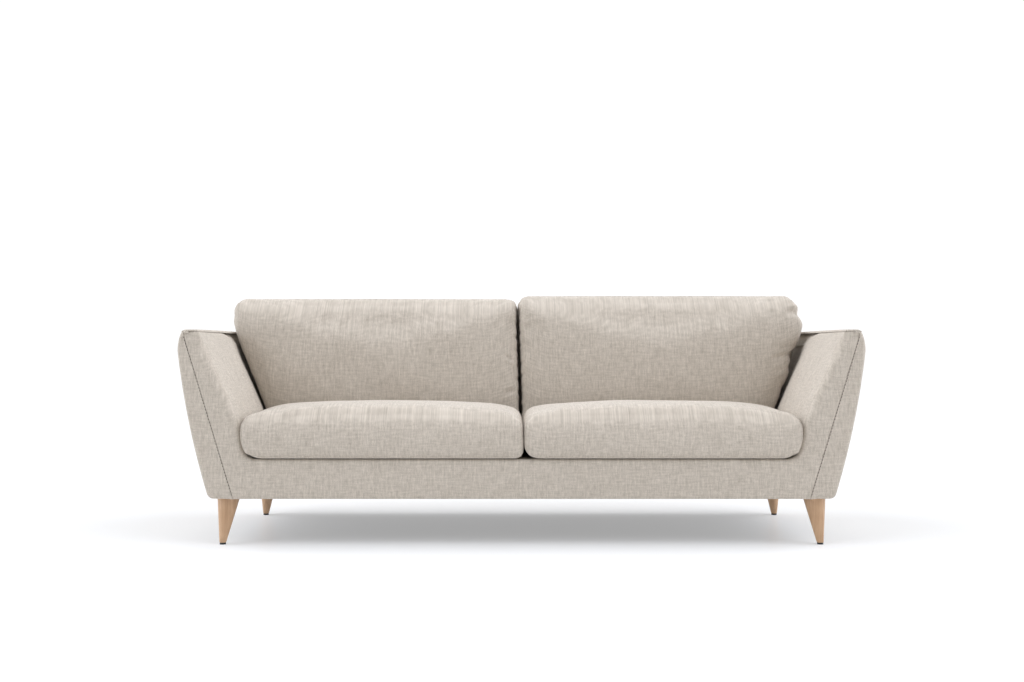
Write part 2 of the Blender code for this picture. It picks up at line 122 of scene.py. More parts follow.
def inner_x(z, y):
    """An arm's inner face: upright at the deck, then leaning outward."""
    knee = INNER_TOP - INNER_LEAN * (ARM_TOP - KNEE)
    share = np.clip(z - DECK_TOP, 0.0, None) / (KNEE - DECK_TOP)
    low_part = INNER_DECK + (knee - INNER_DECK) * share * share
    return np.where(z >= KNEE, INNER_TOP - INNER_LEAN * (ARM_TOP - z), low_part) + toe(z, y)


def recede(z, y):
    """How far an arm's padding draws back from the cushions towards its rear end."""
    return (0.020 - 0.012 * smooth(z, 0.60, 0.71)) * smooth(y, -0.06, 0.16)


def pad_x(z, y):
    return inner_x(z, y) + recede(z, y)


def seam_x(z):
    return SEAM_FOOT + SEAM_LEAN * (z - SEAM_FOOT_Z)


def back_face_y(z):
    return BACK_FACE_Y + BACK_LEAN * (z - DECK_TOP)


# ---- Node materials ------------------------------------------------------------------------
class Recipe:
    """Builds one material's node tree around a Principled shader."""

    def __init__(self, name, roughness, **plain):
        self.material = bpy.data.materials.new(name)
        self.material.use_nodes = True
        self.tree = self.material.node_tree
        self.shader = self.tree.nodes["Principled BSDF"]
        self.shader.inputs["Roughness"].default_value = roughness
        for socket, value in plain.items():
            self.shader.inputs[socket.replace("_", " ")].default_value = value

    def feed(self, socket, value):
        if hasattr(value, "is_output"):
            self.tree.links.new(value, socket)
        elif isinstance(value, (tuple, list)) and len(value) != len(socket.default_value):
            socket.default_value = (*value, 1.0)
        else:
            socket.default_value = value

    def add(self, kind, out, inputs=(), **settings):
        node = self.tree.nodes.new(kind)
        for key, value in settings.items():
            setattr(node, key, value)
        for key, value in dict(inputs).items():
            self.feed(node.inputs[key], value)
        return node.outputs[out]

    def math(self, operation, *values, clamp=False):
        inputs = enumerate(values)
        return self.add("ShaderNodeMath", 0, inputs, operation=operation, use_clamp=clamp)

    def weighed(self, *parts):
        """Sum of values times their weights, given as pairs."""
        total, *others = (self.math("MULTIPLY", *part) for part in parts)
        for other in others:
            total = self.math("ADD", total, other)
        return total

    def coords(self):
        point = self.add("ShaderNodeTexCoord", "Object")
        normal = self.add("ShaderNodeTexCoord", "Normal")
        return self.split(point), self.split(normal), point

    def split(self, vector):
        node = self.tree.nodes.new("ShaderNodeSeparateXYZ")
        self.tree.links.new(vector, node.inputs[0])
        return node.outputs

    def plane(self, u, v, scale_u, scale_v, shift):
        """Scaled flat coordinates."""
        first = self.math("MULTIPLY_ADD", u, scale_u, shift)
        second = self.math("MULTIPLY_ADD", v, scale_v, shift * 0.7)
        return self.add("ShaderNodeCombineXYZ", 0, {0: first, 1: second})

    def noise(self, vector, scale=1.0, detail=2.0, roughness=0.5, distortion=0.0):
        inputs = {
            "Vector": vector, "Scale": scale, "Detail": detail, "Roughness": roughness,
            "Distortion": distortion,
        }
        return self.add("ShaderNodeTexNoise", "Fac", inputs)

    def range(self, value, a, b, c=0.0, d=1.0, soft=False):
        inputs = {"Value": value, "From Min": a, "From Max": b, "To Min": c, "To Max": d}
        kind = "SMOOTHSTEP" if soft else "LINEAR"
        return self.add("ShaderNodeMapRange", 0, inputs, interpolation_type=kind)

    def blend(self, share, first, second, kind="RGBA"):
        node = self.tree.nodes.new("ShaderNodeMix")
        node.data_type = kind
        places = {"RGBA": (0, 6, 7, 2), "FLOAT": (0, 2, 3, 0)}[kind]
        for place, value in zip(places, (share, first, second)):
            self.feed(node.inputs[place], value)
        return node.outputs[places[3]]

    def finish(self, colour, height=None, relief=0.0004, roughness=None):
        self.feed(self.shader.inputs["Base Color"], colour)
        if roughness is not None:
            self.feed(self.shader.inputs["Roughness"], roughness)
        if height is not None:
            inputs = {"Height": height, "Distance": relief, "Strength": 1.0}
            self.feed(self.shader.inputs["Normal"], self.add("ShaderNodeBump", 0, inputs))
        return self.material


THREAD_PITCH = 0.0014       # distance between neighbouring threads of the weave


def fabric(name, dark, light, contrast):
    """Linen-look weave with upright slubs. The cloth's run follows each face, without UVs."""
    recipe = Recipe(name, 0.92, Sheen_Weight=0.28, Sheen_Roughness=0.45, Specular_IOR_Level=0.2)
    point, normal, place = recipe.coords()
    drop = recipe.math("SUBTRACT", point[2], point[1])
    sideways = recipe.range(recipe.math("ABSOLUTE", normal[0]), 0.60, 0.78, soft=True)

    def weave(u, v, shift):
        """Tone and rise of upright slubs, long slubs, threads, cross slubs and crossings."""
        slub = recipe.noise(recipe.plane(u, v, 270, 48, shift), detail=3.0, roughness=0.6)
        long_slub = recipe.noise(recipe.plane(u, v, 150, 19, shift + 3), detail=2.0)
        cross = recipe.noise(recipe.plane(u, v, 24, 175, shift + 7), detail=2.0)
        fine = recipe.noise(recipe.plane(u, v, 620, 210, shift + 11), detail=1.0)
        knots = recipe.range(cross, 0.35, 0.75)
        turn = 2 * math.pi / THREAD_PITCH
        grid = recipe.math("MULTIPLY", *(
            recipe.math("SINE", recipe.math("MULTIPLY", axis, turn)) for axis in (u, v)))
        parts = ((slub, 0.5, 0.50), (long_slub, 0.5, 0.40), (fine, 0.5, 0.34),
                 (knots, 0.38, 0.15), (grid, 0, 0.05))
        tone = recipe.weighed(*(
            (recipe.math("SUBTRACT", part, middle), weight * contrast)
            for part, middle, weight in parts))
        return tone, recipe.weighed((slub, 0.6), (fine, 0.5), (knots, 0.2), (grid, 0.28))

    tone, rise = (
        recipe.blend(sideways, front, side, "FLOAT")
        for front, side in zip(weave(point[0], drop, 0.0), weave(point[1], point[2], 5.3)))
    patches = recipe.noise(place, scale=7.0, detail=2.0)
    tone = recipe.math("ADD", tone, recipe.weighed((recipe.math("SUBTRACT", patches, 0.5), 0.10)))
    share = recipe.math("ADD", tone, 0.5, clamp=True)
    rough = recipe.range(rise, 0.3, 1.3, 0.86, 0.97)
    return recipe.finish(recipe.blend(share, dark, light), rise, 0.00042, rough)


def wood(name, dark, light, along, roughness, grain=1.0, coat=0.0):
    """Straight-grained wood: fine lines along one axis, with pores and slow colour drift."""
    recipe = Recipe(name, roughness, Coat_Weight=coat, Coat_Roughness=0.35)
    point, _, place = recipe.coords()
    across = [point[i] for i in range(3) if i != along] + [point[along]]

    def lines(scale, length):
        parts = [recipe.math("MULTIPLY", axis, size * grain)
                 for axis, size in zip(across, (scale, scale, length))]
        return recipe.add("ShaderNodeCombineXYZ", 0, enumerate(parts))

    bands = recipe.noise(lines(130, 5), detail=4.0, roughness=0.6, distortion=0.4)
    pores = recipe.noise(lines(900, 26), detail=2.0, roughness=0.6)
    drift = recipe.noise(place, scale=14.0, detail=2.0)
    share = recipe.range(recipe.weighed((bands, 0.75), (pores, 0.30), (drift, 0.35)), 0.45, 0.95)
    rough = recipe.range(pores, 0.3, 0.7, roughness - 0.06, roughness + 0.08)
    return recipe.finish(recipe.blend(share, dark, light), pores, 0.00015, rough)


def mottled(name, dark, light, roughness, scale, relief, stretch=(1, 1, 1), **plain):
    """A finish with a fine noise in its colour, relief and roughness."""
    recipe = Recipe(name, roughness, **plain)
    point, _, _ = recipe.coords()
    parts = {i: recipe.math("MULTIPLY", point[i], scale * stretch[i]) for i in range(3)}
    vector = recipe.add("ShaderNodeCombineXYZ", 0, parts)
    fine = recipe.noise(vector, detail=3.0, roughness=0.6)
    share = recipe.range(fine, 0.3, 0.7)
    rough = recipe.range(fine, 0.3, 0.7, max(roughness - 0.07, 0.02), min(roughness + 0.07, 1.0))
    return recipe.finish(recipe.blend(share, dark, light), fine, relief, rough)


UPHOLSTERY = fabric("linen weave", (0.372, 0.325, 0.268), (0.704, 0.634, 0.551), 1.9)
TIMBER = wood("pine timber", (0.50, 0.34, 0.18), (0.74, 0.57, 0.37), 0, 0.75, grain=0.5)
OAK = wood("oiled oak", (0.385, 0.222, 0.115), (0.61, 0.400, 0.245), 2, 0.42, coat=0.08)
# name, darkest and lightest colour, roughness, scale of the noise, relief
LINING = mottled("black nonwoven lining", (0.028, 0.027, 0.026), (0.075, 0.073, 0.070),
                 0.95, 900, 0.0004)
DECK_CLOTH = mottled("deck cloth", (0.42, 0.37, 0.31), (0.60, 0.54, 0.47), 0.95, 700, 0.0004)
STEEL = mottled("bright steel", (0.42, 0.42, 0.43), (0.58, 0.58, 0.60), 0.34, 300, 0.00005,
                Metallic=1.0)
WEBBING = mottled("jute webbing", (0.16, 0.13, 0.10), (0.34, 0.29, 0.22), 0.92, 500, 0.0005,
                  stretch=(0.15, 1, 1))
GLIDE = mottled("black plastic", (0.010, 0.010, 0.011), (0.022, 0.022, 0.024),
                0.48, 700, 0.0001)
# The thread is real, but its dark tone is painted shade that stands for the shadowed stitch holes
# along the arms' seams.
THREAD_WITH_HOLE_SHADE = mottled("topstitch thread with painted hole shade", (0.10, 0.088, 0.075), (0.22, 0.195, 0.17),
                 0.8, 1500, 0.0001)
ZIP_METAL = mottled("zip brass", (0.42, 0.31, 0.15), (0.60, 0.47, 0.26), 0.32, 900, 0.00004,
                    Metallic=1.0)
ZIP_TAPE = mottled("zip tape", (0.36, 0.31, 0.25), (0.52, 0.46, 0.39), 0.9, 1100, 0.0003)

CAD_FINISHES = (
    (("front_rail", "rear_rail", "side_rail", "centre_rail", "corner_block", "back_post",
      "back_top_rail", "arm_front_post", "arm_top_rail"), TIMBER),
    (("seat_spring", "leg_bolt"), STEEL),
    (("back_webbing",), WEBBING),
    (("seat_deck",), DECK_CLOTH),
    (("dust_cover",), LINING),
    (("glide",), GLIDE),
    (("seat_cushion_zip_slider", "back_cushion_zip_slider"), ZIP_METAL),
)
for prefixes, finish in CAD_FINISHES:
    for name, node in NODES.items():
        if name.startswith(prefixes):
            for place in node.material_slots:
                place.material = finish


# ---- Mesh helpers --------------------------------------------------------------------------
def add_object(name, mesh, material, body):
    made = bpy.data.objects.new(name, mesh)
    bpy.context.scene.collection.objects.link(made)
    mesh.materials.append(material)
    mesh.shade_smooth()
    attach(made, body)
    return made


def grid_mesh(name, points, facing):
    """Quads on an array of rows of points. facing is (row, column, direction): the face there
    points towards that direction, and the others follow."""
    rows, columns = points.shape[:2]
    index = np.arange(rows * columns).reshape(rows, columns)
    quads = np.stack(
        [index[:-1, :-1], index[1:, :-1], index[1:, 1:], index[:-1, 1:]], axis=-1
    ).reshape(-1, 4)
    row, column, direction = facing
    a, b, c = points[row, column], points[row + 1, column], points[row, column + 1]
    if np.dot(np.cross(b - a, c - a), direction) < 0:
        quads = quads[:, ::-1]
    return new_mesh(name, points.reshape(-1, 3).tolist(), quads.tolist())


def thicken(made, thickness=SHELL):
    """Closes an open sheet into a thin shell, growing inward."""
    shell = made.modifiers.new("shell", "SOLIDIFY")
    shell.thickness = thickness
    shell.offset = -1.0
    shell.use_even_offset = False


def curve(start, corner, end, t):
    """Points at t on the smooth bend from start to end that a corner pulls on."""
    return start * (1 - t) ** 2 + corner * 2 * t * (1 - t) + end * t ** 2


def steps(count):
    """count even shares of the way from 0 to 1, without the start."""
    return np.linspace(0, 1, count + 1)[1:]


def join(*parts):
    """Rows of points from coordinates, each an array or one number for all."""
    return np.stack(np.broadcast_arrays(*parts), axis=-1)


def normals(path):
    """Normals of a path in a plane, to the right of its run."""
    run = np.gradient(path, axis=0)
    run /= np.maximum(np.linalg.norm(run, axis=1, keepdims=True), 1e-9)
    return np.column_stack([run[:, 1], -run[:, 0]])


def skin(rings, closed=False):
    """Vertices and faces of a tube through rings of points, its ends capped unless closed."""
    rings = np.asarray(rings)
    count, sides = rings.shape[:2]
    faces = []
    for i in range(count if closed else count - 1):
        j = (i + 1) % count
        for k in range(sides):
            m = (k + 1) % sides
            faces.append((i * sides + k, i * sides + m, j * sides + m, j * sides + k))
    if not closed:
        faces.append(tuple(range(sides))[::-1])
        faces.append(tuple(range((count - 1) * sides, count * sides)))
    return rings.reshape(-1, 3).tolist(), faces


def new_mesh(name, vertices, faces):
    mesh = bpy.data.meshes.new(name)
    mesh.from_pydata(vertices, [], faces)
    mesh.update()
    return mesh


def evaluated(thing):
    return thing.evaluated_get(bpy.context.evaluated_depsgraph_get())


def wrapped(edge, partner, radius, seam_radius, seam_depth, end_y, end_radius=None,
            swell=0.0, face_swell=0.0, side_steps=56):
    """A covering pulled over a panel: from behind its seam (partner), across the front face, round
    the front edge (edge) and back along the side to end_y, where it may turn in again.
    edge(y) gives the side's outline in (x, z) at depth y, one value or one per point."""
    front = edge(FRONT_Y + radius)
    out = normals(front)
    face_end = front - out * radius[:, None]
    seam_way = partner - face_end
    seam_way /= np.maximum(np.linalg.norm(seam_way, axis=1, keepdims=True), 1e-9)
    face_start = partner - seam_way * seam_radius[:, None]
    made = []

    def put(xz, y):
        made.append(join(xz[:, 0], y, xz[:, 1]))

    def forward(angle):
        """What is left of a quarter turn's reach towards the front."""
        return 1 - math.cos(angle)

    for share in (1.0, 0.5, 0.0):
        put(partner, FRONT_Y + seam_radius + seam_depth * share)
    for angle in np.radians((65, 40, 18, 0)):
        put(face_start + seam_way * (seam_radius * math.sin(angle))[:, None],
            FRONT_Y + seam_radius * forward(angle))
    for share in steps(10):
        rise = face_swell * math.sin(math.pi * share) ** 0.8 if share < 1 else 0.0
        put(face_start + (face_end - face_start) * share, FRONT_Y - rise)
    for angle in steps(9) * math.pi / 2:
        put(face_end + out * (radius * math.sin(angle))[:, None], FRONT_Y + radius * forward(angle))
    start_y = FRONT_Y + radius
    stop_y = end_y - (0.0 if end_radius is None else end_radius)
    for share in steps(side_steps):
        y = start_y + (stop_y - start_y) * share
        put(edge(y) + out * (swell * math.sin(math.pi * share) ** 0.7 if share < 1 else 0.0), y)
    if end_radius is not None:
        last = edge(end_y)
        way = normals(last)
        for angle in np.radians((22, 45, 68, 90)):
            put(last - way * (end_radius * forward(angle))[:, None],
                stop_y + end_radius * math.sin(angle))
        for tuck in (0.006, 0.012):
            put(last - way * (end_radius + tuck)[:, None], end_y)
    return np.stack(made, axis=1)


# ---- Arms and border -----------------------------------------------------------------------
def outer_path(y):
    """Outer panel's outline at depth y: under the arm, up its side and over its top."""
    bottom = BASE_BOTTOM - UNDER
    reach, top_reach = 0.020, 0.0035        # of the bends at the lower and upper edge
    hem = np.linspace(seam_x(BASE_BOTTOM) + 0.001, BASE_HALF - reach, 8)[:-1]
    corner = curve(np.array([BASE_HALF - reach, bottom]), np.array([BASE_HALF, bottom]),
                   np.array([outer_x(bottom + reach), bottom + reach]),
                   np.linspace(0, 1, 9)[:, None])
    up = np.concatenate([
        np.linspace(bottom + reach, SHOULDER, 46)[1:],
        SHOULDER + (ARM_TOP - SHOULDER) * np.sin(steps(17) * math.pi / 2),
    ])
    fixed = np.concatenate([join(hem, bottom), corner, join(outer_x(up), up)])
    inner_edge = inner_x(ARM_TOP, np.broadcast_to(y, len(fixed) + 18)[len(fixed):]) + 0.001
    top_outer = outer_x(ARM_TOP)
    over = join(top_outer + (inner_edge[:8] + top_reach - top_outer) * steps(8), ARM_TOP)
    corner = join(inner_edge[8:14], ARM_TOP)
    bend_in = curve(corner + np.array([top_reach, 0]), corner, corner + DOWN_FACE * top_reach,
                    steps(6)[:, None])
    down = top_reach + steps(4)[:, None] * (STRIP / FACE_COS - top_reach)
    tail = join(inner_edge[14:], ARM_TOP) + DOWN_FACE * down
    return np.concatenate([fixed, over, bend_in, tail])


def outer_partner(path):
    """For each point of the outer panel's outline, the seam point that it is joined to."""
    low_z, high_z, strip_z = 0.20, 0.655, ARM_TOP - STRIP
    heights = np.concatenate([
        np.linspace(BASE_BOTTOM + 0.001, low_z, 16),
        np.linspace(low_z, high_z, 46)[1:],
        np.linspace(high_z, strip_z, 18)[1:],
    ])
    top = len(heights)
    heights = np.concatenate([heights, np.full(len(path) - top, strip_z)])
    x = seam_x(heights) + 0.0005
    x[top:] = path[top:, 0]
    return join(x, heights)


def make_outer_panel(side, sign):
    path = outer_path(FRONT_Y)
    partner = outer_partner(path)
    width = np.linalg.norm(path - partner, axis=1)
    height = path[:, 1]
    full = rear_y(np.clip(height, BASE_BOTTOM, ARM_TOP))
    # under the arm, the panel's hem is narrow beside the seam and runs to the rear at the edge
    hem = FRONT_Y + 0.035
    fold = smooth(path[:, 0], 0.975, 1.020)
    end_y = np.where(height < BASE_BOTTOM + 0.001, hem + (full - hem) * fold, full)
    grid = wrapped(outer_path, partner, np.minimum(0.014, 0.55 * width),
                   np.minimum(0.0020, 0.25 * width), np.full(len(path), SEAM_SINK), end_y,
                   np.minimum(0.012, 0.4 * np.maximum(width, 0.02)), swell=0.0015)
    grid[..., 0] *= sign
    mesh = grid_mesh("arm_outer_cover_" + side, grid, (60, 12, (0, -1, 0)))
    made = add_object("arm_outer_cover_" + side, mesh, UPHOLSTERY, "frame")
    thicken(made)
    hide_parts("arm_outer_panel_" + side)


def hollow_reach(y):
    """Reach of the hollow between an arm's inner face and the border, which ends at the front."""
    return FILLET - (FILLET - 0.004) * smooth(y, -0.41, -0.36)


def inner_path(y):
    """Inner cover's outline at depth y: under the strip, down the arm's inner face, across the
    border's top to the centre."""
    counts = (6, 7, 40, 14, 9, 60)
    parts = np.split(np.broadcast_to(y, sum(counts)), np.cumsum(counts)[:-1])

    def hidden(place):
        """The cover's edge, under the strip."""
        return join(TUCK_X - 0.008 * smooth(place, -0.10, 0.16), LAP_Z)

    def lip(place, t):
        """A point at t on the rounded top corner, which sinks and widens towards the rear."""
        reach = 0.006 + 0.014 * smooth(place, -0.12, 0.16)
        crest = LAP_Z - 0.030 * smooth(place, -0.10, 0.20)
        corner = join(pad_x(crest, place), crest)
        way = hidden(place) - corner
        way /= np.linalg.norm(way, axis=1, keepdims=True)
        return curve(corner + way * reach[:, None], corner, corner + DOWN_FACE * reach[:, None], t)

    share = np.linspace(0, 1, 7)[:, None]
    top = hidden(parts[0]) * (1 - share[:6]) + lip(parts[0], 0.0) * share[:6]
    turn = lip(parts[1], share)
    low_lip = lip(parts[2], 1.0)[:, 1]
    z = low_lip + (KNEE - low_lip) * steps(40)
    face = join(pad_x(z, parts[2]), z)
    z = KNEE + (DECK_TOP + hollow_reach(parts[3]) - KNEE) * steps(14)
    knee = join(pad_x(z, parts[3]), z)
    near = hollow_reach(parts[4])
    foot = pad_x(DECK_TOP, parts[4])
    hollow = curve(join(pad_x(DECK_TOP + near, parts[4]), DECK_TOP + near), join(foot, DECK_TOP),
                   join(foot - near, DECK_TOP), steps(9)[:, None])
    last = pad_x(DECK_TOP, parts[5]) - hollow_reach(parts[5])
    return np.concatenate([top, turn, face, knee, hollow, join(last * (1 - steps(60)), DECK_TOP)])


def make_inner_cover():
    """Arms' inner faces and the band under the cushions, one continuous covering."""
    path = inner_path(FRONT_Y)
    height = path[:, 1]
    seam_foot_x = seam_x(BASE_BOTTOM)
    high_z, knee_z, low_z = 0.69, 0.325, 0.185
    heights = np.concatenate([
        np.full(6, LAP_Z - 0.001), np.linspace(LAP_Z - 0.002, high_z, 7),
        np.linspace(high_z, knee_z, 41)[1:], np.linspace(knee_z, low_z, 15)[1:]])
    seam = join(seam_x(heights) - 0.0005, heights)
    # the seam's foot turns the corner to the lower edge
    t = steps(9)[:, None]
    corner = np.array([seam_foot_x - 0.0005, BASE_BOTTOM - UNDER])
    foot_end = np.array([seam_foot_x - 0.05, BASE_BOTTOM - UNDER])
    turn = np.where(t < 0.45, seam[-1] + (corner - seam[-1]) * t / 0.45,
                    corner + (foot_end - corner) * (t - 0.45) / 0.55)
    hem = join(foot_end[0] * (1 - steps(60)), BASE_BOTTOM - UNDER)
    partner = np.concatenate([seam, turn, hem])
    width = np.linalg.norm(path - partner, axis=1)
    # the front edge is soft on the arms and firm on the border
    soft = 0.004 + 0.024 * smooth(LAP_Z - height, 0.0, 0.06)
    radius = np.where(height > LAP_Z - 0.0041, 0.0025, soft)
    on_arm = smooth(height, DECK_TOP + 0.001, DECK_TOP + 0.10)
    radius = radius * on_arm + 0.013 * (1 - on_arm)
    radius = np.minimum(radius, 0.45 * np.maximum(width, 0.003))
    along_hem = smooth(-partner[:, 0], -seam_foot_x + 0.004, -seam_foot_x + 0.03)
    seam_radius = np.minimum(0.0020 + 0.0063 * along_hem, 0.25 * np.maximum(width, 0.004))
    ramp = smooth(np.arange(len(path), dtype=float), 66.0, 76.0)
    end_y = (back_face_y(height) + 0.035) * (1 - ramp) + BORDER_REAR_Y * ramp
    half = wrapped(inner_path, partner, radius, seam_radius, SEAM_SINK + 0.022 * along_hem, end_y,
                   face_swell=0.0015, side_steps=60)
    # the arm pads are crowned: fullest half way back and half way up
    y, z = half[..., 1], half[..., 2]
    on_face = (height < LAP_Z - 0.004) & (height > DECK_TOP + FILLET)
    wall = on_face[:, None] * smooth(y, FRONT_Y, FRONT_Y + 0.20) * (1 - smooth(y, 0.02, 0.34))
    up = np.sin(math.pi * np.clip((z - DECK_TOP) / (LAP_Z - DECK_TOP), 0, 1)) ** 0.7
    crown = 0.009 * wall * up
    half[..., 0] -= crown * FACE_COS
    half[..., 2] += crown * FACE_SIN
    grid = np.concatenate([half, half[::-1][1:] * (-1, 1, 1)])
    mesh = grid_mesh("arm_and_border_cover", grid, (30, 12, (0, -1, 0)))
    made = add_object("arm_and_border_cover", mesh, UPHOLSTERY, "frame")
    thicken(made)
    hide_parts("arm_inner_pad_left", "arm_inner_pad_right", "front_border")


# ---- Back ----------------------------------------------------------------------------------
def swept(profile, reach, into, depths, count, swell=0.0):
    """A (y, z) profile carried across the sofa, to reach at each end, where it sinks by depths
    along into, so that the ends turn in. swell is added in full at the middle."""
    shares = np.concatenate([[1.0] * 3, np.cos(np.linspace(0, math.pi, count))[1:-1], [-1.0] * 3])
    sink = np.concatenate([depths, np.zeros(count - 2), depths[::-1]])
    return np.stack([
        np.column_stack([reach * share, profile + into * depth + swell * (1 - share ** 6)])
        for share, depth in zip(shares, sink)])


def make_back_cover():
    """Padding over the front and top of the back frame."""
    top, rear = ARM_TOP - 0.001, rear_y(ARM_TOP)
    roll, rear_roll = 0.028, 0.010          # rounding of the front and rear top edges
    z = np.linspace(DECK_TOP - 0.012, top - roll, 44)
    share = np.clip((z - DECK_TOP) / (top - DECK_TOP), 0, 1)
    angle = steps(8) * math.pi / 2
    turn = join(back_face_y(top - roll) + roll * (1 - np.cos(angle)),
                top - roll + roll * np.sin(angle))
    flat = join(np.linspace(turn[-1, 0], rear - rear_roll, 12)[1:],
                top + 0.003 * np.sin(np.linspace(0, math.pi, 11)))
    angle = steps(7) * math.pi / 2
    over = join(rear - rear_roll * (1 - np.sin(angle)), top - 0.008 * (1 - np.cos(angle)))
    tail = np.array([[rear, top - 0.011], [rear - 0.003, top - 0.0135],
                     [rear - 0.008, top - 0.0145]])
    front = join(back_face_y(z) - 0.002 * np.sin(math.pi * share) ** 0.8, z)
    profile = np.concatenate([front, turn, flat, over, tail])
    y, z = profile.T
    below_lap = 1 - smooth(z, LAP_Z - 0.05, LAP_Z - 0.004)
    reach = inner_x(np.minimum(z, ARM_TOP), y) - 0.0002 + (recede(z, y) - 0.001) * below_lap
    grid = swept(profile, reach, normals(profile), (0.014, 0.006, 0.0018), 121)
    mesh = grid_mesh("back_cover", grid, (60, 20, (0, -1, 0)))
    made = add_object("back_cover", mesh, UPHOLSTERY, "frame")
    thicken(made)
    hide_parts("back_inner_pad")


def make_back_panel():
    """Flat covering over the rear of the frame, turned in along its edges."""
    bottom, top = BASE_BOTTOM - UNDER, ARM_TOP - 0.0142
    z = np.linspace(bottom + 0.004, top, 60)
    low_y, high_y = rear_y(bottom), rear_y(top)
    profile = np.concatenate([
        [[low_y - 0.035, bottom], [low_y - 0.012, bottom], [low_y - 0.004, bottom + 0.0006]],
        join(rear_y(z), z),
        [[high_y - 0.0012, top + 0.0022], [high_y - 0.005, top + 0.003],
         [high_y - 0.010, top + 0.003]],
    ])
    height = profile[:, 1]
    reach = outer_x(np.clip(height, BASE_BOTTOM, top)) - 0.0135
    swell = 0.0025 * np.sin(math.pi * np.clip((height - bottom) / (top - bottom), 0, 1))
    grid = swept(profile, reach, np.array([-1.0, 0.0]), (0.012, 0.005, 0.0014), 101,
                 join(swell, 0.0))
    mesh = grid_mesh("back_panel_cover", grid, (50, 20, (0, 1, 0)))
    made = add_object("back_panel_cover", mesh, UPHOLSTERY, "frame")
    thicken(made, 0.002)
    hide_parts("back_outer_panel")


# ---- Stitches ------------------------------------------------------------------------------
def make_topstitch(side, sign):
    """A row of small rounded threads beside an arm's front seam; their dark tone is painted shade
    of the stitch holes.
    """
    pitch, length, radius = 0.0105, 0.0056, 0.0011
    offset, sunk = 0.0012, 0.0003           # beside the seam, and into the cloth
    way = Vector((sign * SEAM_LEAN * length, 0, length))
    shape = Matrix.Diagonal((radius, radius, way.length / 2, 1))
    turn = way.to_track_quat("Z", "Y").to_matrix().to_4x4() @ shape
    work = bmesh.new()
    for z in np.arange(BASE_BOTTOM + 0.012, LAP_Z - 0.006, pitch):
        start = Vector((sign * (seam_x(z) + offset), FRONT_Y + sunk, z))
        place = Matrix.Translation(start + way / 2) @ turn
        bmesh.ops.create_uvsphere(work, u_segments=6, v_segments=5, radius=1.0, matrix=place)
    mesh = bpy.data.meshes.new("arm_topstitch_" + side)
    work.to_mesh(mesh)
    work.free()
    add_object("arm_topstitch_" + side, mesh, THREAD_WITH_HOLE_SHADE, "frame")


# ---- Cushions ------------------------------------------------------------------------------
def box_grid(counts):
    """Share coordinates (0 to 1) and quads of a closed box surface."""
    index, points, quads = {}, [], []

    def corner(*place):
        if place not in index:
            index[place] = len(points)
            points.append([place[i] / counts[i] for i in range(3)])
        return index[place]

    for axis in range(3):
        u, v = [i for i in range(3) if i != axis]
        for level in (0, counts[axis]):
            for i in range(counts[u]):
                for j in range(counts[v]):
                    ring = []
                    for a, b in ((0, 0), (1, 0), (1, 1), (0, 1)):
                        place = [0, 0, 0]
                        place[axis], place[u], place[v] = level, i + a, j + b
                        ring.append(corner(*place))
                    if (level == 0) != (axis == 1):
                        ring.reverse()
                    quads.append(ring)
    return np.array(points), quads


def positions(mesh, kind="co"):
    values = np.zeros(len(mesh.vertices) * 3)
    mesh.vertices.foreach_get(kind, values)
    return values.reshape(-1, 3)


def set_positions(mesh, co):
    mesh.vertices.foreach_set("co", co.ravel())
    mesh.update()


def shares_of(mesh):
    values = np.zeros(len(mesh.vertices) * 3)
    mesh.attributes["share"].data.foreach_get("vector", values)
    return values.reshape(-1, 3)


def at(share, level):
    """True where a share coordinate is at level."""
    return np.abs(share - level) < 1e-5


def waves(seed, lengths, position):
    """Seeded sum of sines along one coordinate, about -1 to 1."""
    draw = np.random.default_rng(seed)
    total = np.zeros_like(position)
    for length in lengths:
        run = 2 * math.pi * position / (length * draw.uniform(0.85, 1.15))
        total += np.sin(run + draw.uniform(0, 2 * math.pi))
    return total / len(lengths)


def inflate(name, shares, quads, start, held, cap, pressure, frames, slack):
    """Swells a cover by cloth simulation. held is each point's pin weight and cap the most that a
    point may move."""
    mesh = new_mesh(name, start.tolist(), quads)
    mesh.attributes.new("share", "FLOAT_VECTOR", "POINT").data.foreach_set("vector", shares.ravel())
    work = bpy.data.objects.new(name + " swelling", mesh)
    bpy.context.scene.collection.objects.link(work)
    pins = work.vertex_groups.new(name="held")
    for weight in np.unique(held):
        if weight > 0:
            pins.add(np.flatnonzero(held == weight).tolist(), float(weight), "REPLACE")
    cloth = work.modifiers.new("cloth", "CLOTH")
    settings = cloth.settings
    settings.quality = 5
    settings.mass = 0.3
    settings.tension_stiffness = settings.compression_stiffness = 25
    settings.shear_stiffness = 8
    settings.bending_stiffness = 0.6
    settings.air_damping = 2.0
    settings.use_pressure = True
    settings.uniform_pressure_force = pressure
    settings.shrink_min = -slack
    settings.effector_weights.gravity = 0
    settings.vertex_group_mass = "held"
    settings.pin_stiffness = 1.0
    cloth.collision_settings.use_collision = False
    cloth.collision_settings.use_self_collision = False
    cloth.point_cache.frame_start, cloth.point_cache.frame_end = 1, frames
    scene = bpy.context.scene
    for step in range(1, frames + 1):
        scene.frame_set(step)
    swollen = positions(evaluated(work).data)
    scene.frame_set(1)
    bpy.data.objects.remove(work)
    move = swollen - start
    length = np.linalg.norm(move, axis=1, keepdims=True)
    move *= cap * np.tanh(length / cap) / np.maximum(length, 1e-9)
    set_positions(mesh, start + relaxed(mesh, move, held < 0.5, 6))
    return mesh


